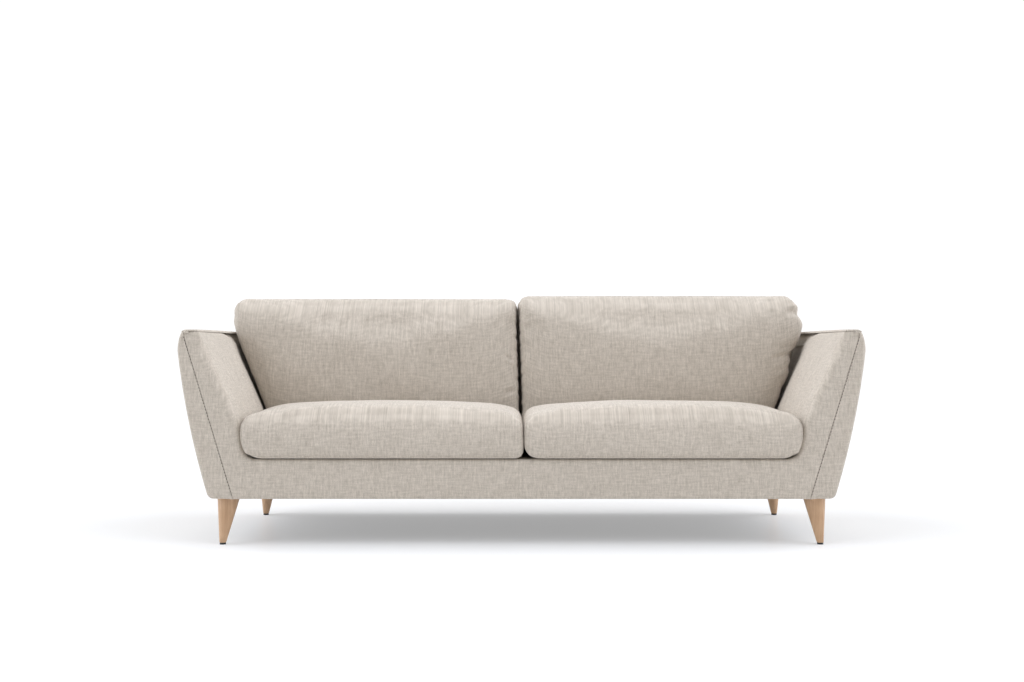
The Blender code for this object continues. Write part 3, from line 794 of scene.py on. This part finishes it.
def relaxed(mesh, move, free, times):
    """Evens a field of moves out over neighbouring points, where they are free."""
    ends = np.zeros(len(mesh.edges) * 2, int)
    mesh.edges.foreach_get("vertices", ends)
    ends = ends.reshape(-1, 2)
    degree = np.bincount(ends.ravel(), minlength=len(move))[:, None]
    for _ in range(times):
        total = np.zeros_like(move)
        np.add.at(total, ends[:, 0], move[ends[:, 1]])
        np.add.at(total, ends[:, 1], move[ends[:, 0]])
        move = np.where(free[:, None], 0.4 * move + 0.6 * total / degree, move)
    return move


def subdivided(mesh):
    """The mesh after one subdivision, with its points, normals and shares."""
    work = bpy.data.objects.new("subdividing", mesh)
    bpy.context.scene.collection.objects.link(work)
    rounder = work.modifiers.new("rounder", "SUBSURF")
    rounder.levels = rounder.render_levels = 1
    made = bpy.data.meshes.new_from_object(evaluated(work))
    bpy.data.objects.remove(work)
    return made, positions(made), positions(made, "normal"), shares_of(made)


def welt(points, radius, sides=8):
    """Closed or open round tube along a run of points, as vertices and faces."""
    closed = np.linalg.norm(points[0] - points[-1]) < 1e-6
    if closed:
        points = points[:-1]
        run = np.roll(points, -1, axis=0) - np.roll(points, 1, axis=0)
    else:
        run = np.vstack([points[1:], points[-1:]]) - np.vstack([points[:1], points[:-1]])
    run /= np.linalg.norm(run, axis=1, keepdims=True)
    up = np.cross(run, np.array([0.31, 0.52, 0.79]))
    up /= np.linalg.norm(up, axis=1, keepdims=True)
    aside = np.cross(run, up)
    angles = np.linspace(0, 2 * math.pi, sides, endpoint=False)[:, None]
    ring = up[:, None] * np.cos(angles) + aside[:, None] * np.sin(angles)
    return skin(points[:, None] + radius * ring, closed)


def edge_run(shares, co, fixed, along):
    """Points on one edge of the box grid, in order. fixed is {axis: share}."""
    on = np.logical_and.reduce([at(shares[:, axis], value) for axis, value in fixed.items()])
    found = np.flatnonzero(on)
    return co[found[np.argsort(shares[found, along])]]


def ring_loop(shares, co, axis, level):
    """The closed loop of points round the box at one share of an axis."""
    u, v = [i for i in range(3) if i != axis]
    runs = [
        edge_run(shares, co, {axis: level, v: 0}, u)[:-1],
        edge_run(shares, co, {axis: level, u: 1}, v)[:-1],
        edge_run(shares, co, {axis: level, v: 1}, u)[::-1][:-1],
        edge_run(shares, co, {axis: level, u: 0}, v)[::-1],
    ]
    return np.concatenate(runs)


def add_welts(mesh, runs, radius):
    """Joins welts onto a cushion's mesh."""
    work = bmesh.new()
    work.from_mesh(mesh)
    for points in runs:
        vertices, faces = welt(points, radius)
        made = [work.verts.new(v) for v in vertices]
        for face in faces:
            work.faces.new([made[i] for i in face])
    work.to_mesh(mesh)
    work.free()
    mesh.update()


def round_pair(point, axes, sizes, corners):
    """Rounds the edges of a box seen along one axis. corners maps (side of first axis, side of
    second axis), each 0 or 1, to the reach of the rounding on both axes."""
    for sides, reaches in corners.items():
        core = [size - reach if high_side else reach
                for size, high_side, reach in zip((sizes[axes[0]], sizes[axes[1]]), sides, reaches)]
        signs = [1 if high_side else -1 for high_side in sides]
        off_i, off_j = (sign * (point[:, axis] - middle) / reach
                        for sign, axis, middle, reach in zip(signs, axes, core, reaches))
        inside = (off_i > 0) & (off_j > 0)
        scale = np.maximum(off_i, off_j)[inside] / np.hypot(off_i, off_j)[inside]
        for axis, sign, middle, off, reach in zip(axes, signs, core, (off_i, off_j), reaches):
            point[inside, axis] = middle + sign * off[inside] * scale * reach


def seam_distance(shares, size, fixed):
    """Rough distance over the surface from the box edge that fixed names, {axis: 0 or 1}."""
    return sum(np.abs(shares[:, axis] - value) * size[axis] for axis, value in fixed.items())


def pucker(co, normal, distance, position, seed, depth, reach=0.013, lengths=(0.016, 0.023, 0.037)):
    """Small gathers beside a seam, fading with distance from it."""
    ripple = 0.5 + 0.5 * waves(seed, lengths, position)
    return co - normal * (depth * ripple * np.exp(-distance / reach))[:, None]


def crease(co, normal, start, end, width, depth):
    """A fold line pressed in between two points, with its sides pushed up a little."""
    start, end = np.array(start, float), np.array(end, float)
    way = end - start
    along = np.clip(((co - start) @ way) / (way @ way), 0, 1)
    near = start + along[:, None] * way
    away = np.linalg.norm(co - near, axis=1) / width
    fade = np.sin(math.pi * np.clip(along, 0.02, 0.98)) ** 0.5
    shape = np.exp(-away ** 2) - 0.45 * np.exp(-((away - 1.9) / 0.9) ** 2)
    return co - normal * (depth * fade * shape)[:, None]


CELL = 0.0125               # spacing of the cushions' simulated cloth


def cushion_block(size, outline, side_edges, long_edges):
    """A cushion as a rounded block, its low corner at the origin: shares, quads and points."""
    shares, quads = box_grid([max(int(round(length / CELL)), 4) for length in size])
    point = shares * np.array(size)
    for axes, corners in (((0, 2), outline), ((0, 1), side_edges), ((1, 2), long_edges)):
        round_pair(point, axes, size, corners)
    return shares, quads, point


SEAT_FRONT, SEAT_DEPTH, SEAT_HEIGHT = -0.452, 0.4595, 0.150


def make_seat_cushion(side, sign):
    width = INNER_DECK + 0.0105
    size = (width, SEAT_DEPTH, SEAT_HEIGHT)
    low_round = (0.026, 0.026) if sign < 0 else (0.050, 0.044)
    shares, quads, start = cushion_block(
        size,
        {(1, 1): (0.050, 0.036), (1, 0): (0.070, 0.070), (0, 1): (0.040, 0.044),
         (0, 0): low_round},
        {(1, 0): (0.022, 0.026), (0, 0): (0.016, 0.020), (1, 1): (0.030, 0.030),
         (0, 1): (0.020, 0.030)},
        {(0, 1): (0.055, 0.055), (0, 0): (0.022, 0.030), (1, 1): (0.045, 0.045),
         (1, 0): (0.025, 0.025)},
    )
    a, b, c = shares.T
    # the front swells a little and the top is humped
    ends = 1 - np.abs(2 * a - 1) ** 6
    start[:, 1] -= 0.009 * np.sin(math.pi * c) * ends * smooth(1 - b, 0.6, 1.0)
    hump = 1 - np.abs(2 * a - 1) ** 2.4
    hump *= np.sin(math.pi * np.clip(b * 0.80 + 0.16, 0, 1)) ** 0.6
    start[:, 2] += 0.022 * hump * smooth(start[:, 2] / SEAT_HEIGHT, 0.25, 1.0)
    side_rims = (at(a, 0) | at(a, 1)) & (at(b, 0) | at(b, 1) | at(c, 0) | at(c, 1))
    sewn = side_rims | (at(b, 0) & at(c, 0)) | (at(b, 1) & (at(c, 0) | at(c, 1))) | at(c, 0)
    held = np.where(sewn, 1.0, np.where(at(b, 1), 0.9, 0.0))
    mesh = inflate("seat_cushion_" + side, shares, quads, start, held, 0.014, 2.5, 14, 0.012)
    mesh, co, normal, shares = subdivided(mesh)
    a, b, c = shares.T
    for level in (0, 1):
        rim = np.minimum(np.minimum(b, 1 - b) * SEAT_DEPTH, np.minimum(c, 1 - c) * SEAT_HEIGHT)
        away = np.where(at(a, level), rim, np.abs(a - level) * width)
        co = pucker(co, normal, away, co[:, 1] + co[:, 2], 10 + level + sign, 0.0016)
    for level, seed in ((0, 20), (1, 30)):
        away = seam_distance(shares, size, {1: level, 2: level})
        co = pucker(co, normal, away, co[:, 0], seed + sign, 0.0012)
    # the long top is never quite even
    slow = waves(40 + sign, (0.31, 0.47), co[:, 0]) * waves(43 + sign, (0.26, 0.38), co[:, 1])
    co[:, 2] += 0.0022 * slow * smooth(c, 0.5, 1.0)
    co[:, 1] = np.minimum(co[:, 1], SEAT_DEPTH)
    set_positions(mesh, co)
    add_welts(mesh, [ring_loop(shares, co, 0, 0), ring_loop(shares, co, 0, 1),
                     edge_run(shares, co, {1: 0, 2: 0}, 0)], 0.0017)
    co = positions(mesh)
    co[:, 1] += SEAT_FRONT
    # the outer end follows the arm, and the two cushions meet a little aside of the middle
    share = co[:, 0] / width
    aside = sign * (0.0082 - 0.0024 * co[:, 2] / SEAT_HEIGHT) * (1 - share)
    reach = inner_x(np.full(len(co), DECK_TOP), co[:, 1]) - INNER_DECK
    co[:, 0] = sign * (co[:, 0] + 0.0015 + aside + reach * share)
    co[:, 2] += DECK_TOP + 0.0008
    set_positions(mesh, co)
    if sign < 0:
        mesh.flip_normals()
    body = "seat_cushion_" + side
    made = add_object(body, mesh, UPHOLSTERY, body)
    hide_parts("seat_cushion_cover_" + side, "seat_cushion_core_" + side)


def make_deck_flap(side, sign):
    """The strip of deck cloth that runs on from the platform to the arm's padding."""
    near, levels = high("seat_deck", 0) + 0.0004, (-0.0035, -0.0003)
    rings = []
    for y in np.linspace(low("seat_deck", 1), high("seat_deck", 1), 13):
        far = float(pad_x(DECK_TOP, y)) + 0.0005
        rings.append([(sign * x, y, DECK_TOP + levels[level])
                      for x, level in ((near, 0), (far, 0), (far, 1), (near, 1))])
    mesh = new_mesh("deck_flap_" + side, *skin(rings))
    if sign > 0:
        mesh.flip_normals()
    add_object("deck_flap_" + side, mesh, DECK_CLOTH, "frame")
    mesh.shade_flat()


SEAM_SHARE = 5 / 16         # where the back cushions' seam runs, across their thickness
BACK_FOOT = Vector((0, BACK_FACE_Y - 0.008, DECK_TOP + 0.0015))
RECLINE = math.atan(BACK_LEAN)
TILT = Matrix.Translation(BACK_FOOT) @ Matrix.Rotation(-RECLINE, 4, "X")


def make_back_cushion(side, sign):
    width, depth, height = 1.0, 0.197, 0.548 if sign < 0 else 0.560
    farthest = 1.120 if sign < 0 else 1.098     # how far out the cushion bulges over the arm
    shares, quads, start = cushion_block(
        (width, depth, height),
        {(1, 1): (0.052, 0.052), (1, 0): (0.030, 0.030), (0, 1): (0.050, 0.028),
         (0, 0): (0.012, 0.020)},
        {(1, 0): (0.022, 0.042), (0, 0): (0.014, 0.036), (1, 1): (0.040, 0.070),
         (0, 1): (0.020, 0.050)},
        {(0, 1): (0.062, 0.075), (0, 0): (0.045, 0.040), (1, 1): (0.080, 0.060),
         (1, 0): (0.030, 0.030)},
    )
    a, b, c = shares.T
    belly = (1 - (2 * a - 1) ** 4) * (1 - np.abs(2 * c - 1) ** 3)
    start[:, 1] -= 0.012 * belly * smooth(1 - b, 0.5, 1.0)
    # the outer end lies along the arm, and sags over it
    from_rear = depth - start[:, 1]
    level = DECK_TOP + start[:, 2] * math.cos(RECLINE) + from_rear * math.sin(RECLINE)
    place_y = BACK_FOOT[1] - from_rear * math.cos(RECLINE) + start[:, 2] * math.sin(RECLINE)
    wall = inner_x(level, place_y) - 0.0015
    reach = wall - 0.016 * np.logaddexp(0, (wall - farthest) / 0.016)
    reach -= (0.008 if sign < 0 else 0.026) * smooth(level, 0.755, 0.785)
    if sign > 0:
        reach -= 0.020 * np.exp(-((level - 0.635) / 0.055) ** 2)
    centre = 0.0055 * (1 - smooth(b, 0.38, 0.60)) - 0.010 * sign * smooth(start[:, 2], 0.10, 0.50)
    start[:, 0] = centre + (reach - centre) * start[:, 0] / width
    held = np.where(at(a, 0) | at(a, 1), 0.6, 0.0)
    held = np.where(at(b, 1), 0.9, held)
    held = np.where(at(b, SEAM_SHARE) | at(c, 0), 1.0, held)
    mesh = inflate("back_cushion_" + side, shares, quads, start, held, 0.024, 3.0, 16, 0.015)
    mesh, co, normal, shares = subdivided(mesh)
    a, b, c = shares.T
    length = 1.05                               # of the real cushion, against its block
    rim = np.minimum(np.minimum(a, 1 - a) * length, np.minimum(c, 1 - c) * height)
    flat = at(b, 0) | at(b, 1)
    away = np.abs(b - SEAM_SHARE) * depth + np.where(flat, rim, 0.0)
    open_side = 0.2 + 0.8 * smooth(a, 0.0, 0.05)
    co -= normal * (0.0030 * open_side * np.exp(-away / 0.008))[:, None]
    depths = 0.0062 - 0.0040 * open_side
    co = pucker(co, normal, away, co[:, 0] + co[:, 2], 50 + sign, depths, 0.018)
    front = -0.012
    # where each fold starts and ends, its width and its depth
    folds = {
        -1: (((-0.030, front, 0.440), (0.050, front, 0.482), 0.006, 0.0060),
             ((-0.030, front, 0.255), (0.055, front, 0.305), 0.007, 0.0070),
             ((-0.030, front, 0.190), (0.060, front, 0.160), 0.010, 0.0040)),
        1: (((-0.030, front, 0.420), (0.045, front, 0.462), 0.006, 0.0060),
            ((1.165, 0.062, 0.498), (1.035, front, 0.476), 0.012, 0.0150),
            ((1.120, 0.055, 0.345), (0.960, front, 0.295), 0.010, 0.0070),
            ((1.090, 0.055, 0.290), (0.960, front, 0.245), 0.009, 0.0055)),
    }[sign]
    for fold in folds:
        co = crease(co, normal, *fold)
    ruffle = 0.5 + 0.5 * waves(70 + sign, (0.075, 0.11, 0.16), co[:, 2])
    ruffle *= np.exp(-(1 - a) * length / 0.035)
    co[:, 0] -= (0.003 if sign < 0 else 0.007) * ruffle * smooth(c, 0.02, 0.12)
    # the gathers leave the middle edge ragged, at the front only
    ragged = waves(80 + sign, (0.024, 0.037, 0.062), co[:, 2]) * np.exp(-a * length / 0.014)
    co[:, 0] += 0.0026 * ragged * smooth(1 - b, 0.62, 0.72) * smooth(c, 0.06, 0.16)
    slow = waves(60 + sign, (0.33, 0.52), co[:, 0]) * waves(63 + sign, (0.24, 0.41), co[:, 2])
    co[:, 1] += 0.003 * slow * smooth(1 - b, 0.5, 1.0)
    co[:, 1] = np.minimum(co[:, 1], depth)
    set_positions(mesh, co)
    add_welts(mesh, [ring_loop(shares, co, 1, SEAM_SHARE)], 0.0018)
    co = positions(mesh) * (sign, 1, 1)
    co[:, 1] -= depth
    set_positions(mesh, co)
    if sign < 0:
        mesh.flip_normals()
    mesh.transform(TILT)
    body = "back_cushion_" + side
    made = add_object(body, mesh, UPHOLSTERY, body)
    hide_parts("back_cushion_cover_" + side, "back_cushion_core_" + side)


# ---- Zips ----------------------------------------------------------------------------------
def zip_teeth(start, end):
    """Two rows of small tapered teeth that mesh with each other."""
    pitch, aside = 0.0034, 0.0009
    levels = ((-0.0002, 0.0009, 0.0014), (0.0007, 0.0006, 0.0010))     # y, half width, half height
    vertices, faces = [], []
    for i in range(int((end - start) / pitch * 2)):
        x, z = start + pitch * (i + 1) / 2, aside * (1 if i % 2 else -1)
        corners, sides = skin([
            [(x + half_x * u, y, z + half_z * v) for u, v in ((-1, -1), (1, -1), (1, 1), (-1, 1))]
            for y, half_x, half_z in levels])
        faces += [[len(vertices) + k for k in face] for face in sides]
        vertices += corners
    return vertices, faces


def make_zip(kind, side, sign, end, place):
    """Zip tape and teeth across a cushion's rear face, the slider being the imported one."""
    start, half = 0.06, 0.0115
    section = ((0.0001, -half + 0.0015), (0.0003, -0.0030), (0.0001, 0.0), (0.0003, 0.0030),
               (0.0001, half - 0.0015), (-0.0010, half), (-0.0010, -half))
    tape = skin([[(x, y, z) for y, z in section] for x in np.linspace(start, end, 90)])
    teeth = zip_teeth(start + 0.004, end - 0.004)
    for name, shape, finish, slot in (
        (f"{kind}_cushion_zip_tape_{side}", tape, ZIP_TAPE, "upholstery"),
        (f"{kind}_cushion_zip_teeth_{side}", teeth, ZIP_METAL, "zip_metal"),
    ):
        mesh = new_mesh(name, *shape)
        work = bmesh.new()
        work.from_mesh(mesh)
        bmesh.ops.scale(work, vec=(sign, 1, 1), verts=work.verts)
        bmesh.ops.recalc_face_normals(work, faces=work.faces)
        work.to_mesh(mesh)
        work.free()
        mesh.transform(place)
        add_object(name, mesh, finish, f"{kind}_cushion_{side}")
        mesh.set_sharp_from_angle(angle=math.radians(30))


# ---- Legs ----------------------------------------------------------------------------------
def make_leg(end, side, sign):
    """Splayed round leg, its lower edge eased."""
    node = f"leg_{end}_{side}"
    glide_low, glide_high = (np.array(corner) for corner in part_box(f"glide_{end}_{side}"))
    foot = ((glide_low + glide_high) / 2)[:2]
    top = np.array((sign * 0.992, {"front": -0.383, "rear": 0.240}[end]))
    foot_z, top_z = low(node, 2), high(node, 2)
    foot_radius, top_radius, ease = 0.0115, 0.0375, 0.0015
    profile = [(foot_z, foot_radius - ease), (foot_z + 0.3 * ease, foot_radius - 0.3 * ease)]
    for share in np.linspace(0, 1, 15):
        profile.append((foot_z + ease + (top_z - foot_z - ease) * share,
                        foot_radius + (top_radius - foot_radius) * share))
    rings = []
    for height, radius in profile:
        x, y = foot + (top - foot) * (height - foot_z) / (top_z - foot_z)
        angle = np.linspace(0, 2 * math.pi, 64, endpoint=False)
        rings.append(join(x + radius * np.cos(angle), y + radius * np.sin(angle), height))
    mesh = new_mesh(node, *skin(rings))
    made = add_object("turned_" + node, mesh, OAK, "frame")
    mesh.set_sharp_from_angle(angle=math.radians(50))
    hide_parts(node)


for side, sign in SIDES:
    make_outer_panel(side, sign)
    make_topstitch(side, sign)
make_inner_cover()
make_back_cover()
make_back_panel()
for side, sign in SIDES:
    make_seat_cushion(side, sign)
    make_back_cushion(side, sign)
    slider = "seat_cushion_zip_slider_" + side
    zip_foot = (0, low(slider, 1) - 0.0008, (low(slider, 2) + high(slider, 2)) / 2)
    make_zip("seat", side, sign, 0.88, Matrix.Translation(zip_foot))
    make_zip("back", side, sign, 0.90, TILT @ Matrix.Translation((0, 0, 0.12)))
    make_deck_flap(side, sign)
    for end in ("front", "rear"):
        make_leg(end, side, sign)

# ---- Floor, light, camera ------------------------------------------------------------------
FLOOR_HALF = 30.0
corners = [(x * FLOOR_HALF, y * FLOOR_HALF, 0) for x, y in ((-1, -1), (1, -1), (1, 1), (-1, 1))]
floor = bpy.data.objects.new("floor", new_mesh("floor", corners, [(0, 1, 2, 3)]))
bpy.context.scene.collection.objects.link(floor)
WHITE = (1.0, 1.0, 1.0, 1.0)
paint = Recipe("white studio floor", 0.30, Specular_IOR_Level=0.12, Emission_Strength=0.29,
               Emission_Color=WHITE)
cloud = paint.noise(paint.coords()[2], scale=1.5, detail=2.0)
floor.data.materials.append(
    paint.finish(paint.blend(cloud, (0.64, 0.64, 0.64), (0.67, 0.67, 0.67))))

world = bpy.data.worlds.new("studio")
bpy.context.scene.world = world
world.use_nodes = True
tree = world.node_tree
tree.nodes.clear()
path_kind = tree.nodes.new("ShaderNodeLightPath")
either = tree.nodes.new("ShaderNodeMixShader")
tree.links.new(path_kind.outputs["Is Camera Ray"], either.inputs[0])
for place, strength in ((1, 0.27), (2, 1.05)):      # the dome's light, and the backdrop as seen
    background = tree.nodes.new("ShaderNodeBackground")
    background.inputs[0].default_value = WHITE
    background.inputs[1].default_value = strength
    tree.links.new(background.outputs[0], either.inputs[place])
tree.links.new(either.outputs[0], tree.nodes.new("ShaderNodeOutputWorld").inputs[0])

# name, strength, width of the light in degrees, height above the horizon, direction, colour
SOFTBOXES = (
    ("overhead softbox", 0.66, 36, 70, 90, (1.0, 1.0, 1.0)),
    ("left softbox", 2.55, 70, 38, 183, (0.968, 1.0, 1.07)),
    ("right softbox", 2.55, 70, 38, -3, (0.968, 1.0, 1.07)),
    ("front softbox", 0.30, 50, 72, 270, (0.99, 1.0, 1.02)),
)
for name, strength, spread, elevation, azimuth, colour in SOFTBOXES:
    light = bpy.data.lights.new(name, "SUN")
    light.energy = strength
    light.color = colour
    light.angle = math.radians(spread)
    lamp = bpy.data.objects.new(name, light)
    lamp.rotation_euler = (0, math.radians(90 - elevation), math.radians(azimuth))
    bpy.context.scene.collection.objects.link(lamp)

camera_data = bpy.data.cameras.new("camera")
camera_data.lens = 39.26
camera_data.sensor_width = 36.0
camera_data.shift_y = 0.0068
camera = bpy.data.objects.new("camera", camera_data)
camera.location = (-0.032, -4.17, 0.66)
camera.rotation_euler = (math.pi / 2, 0, 0)
bpy.context.scene.collection.objects.link(camera)
bpy.context.scene.camera = camera
bpy.context.scene.view_settings.view_transform = "Standard"
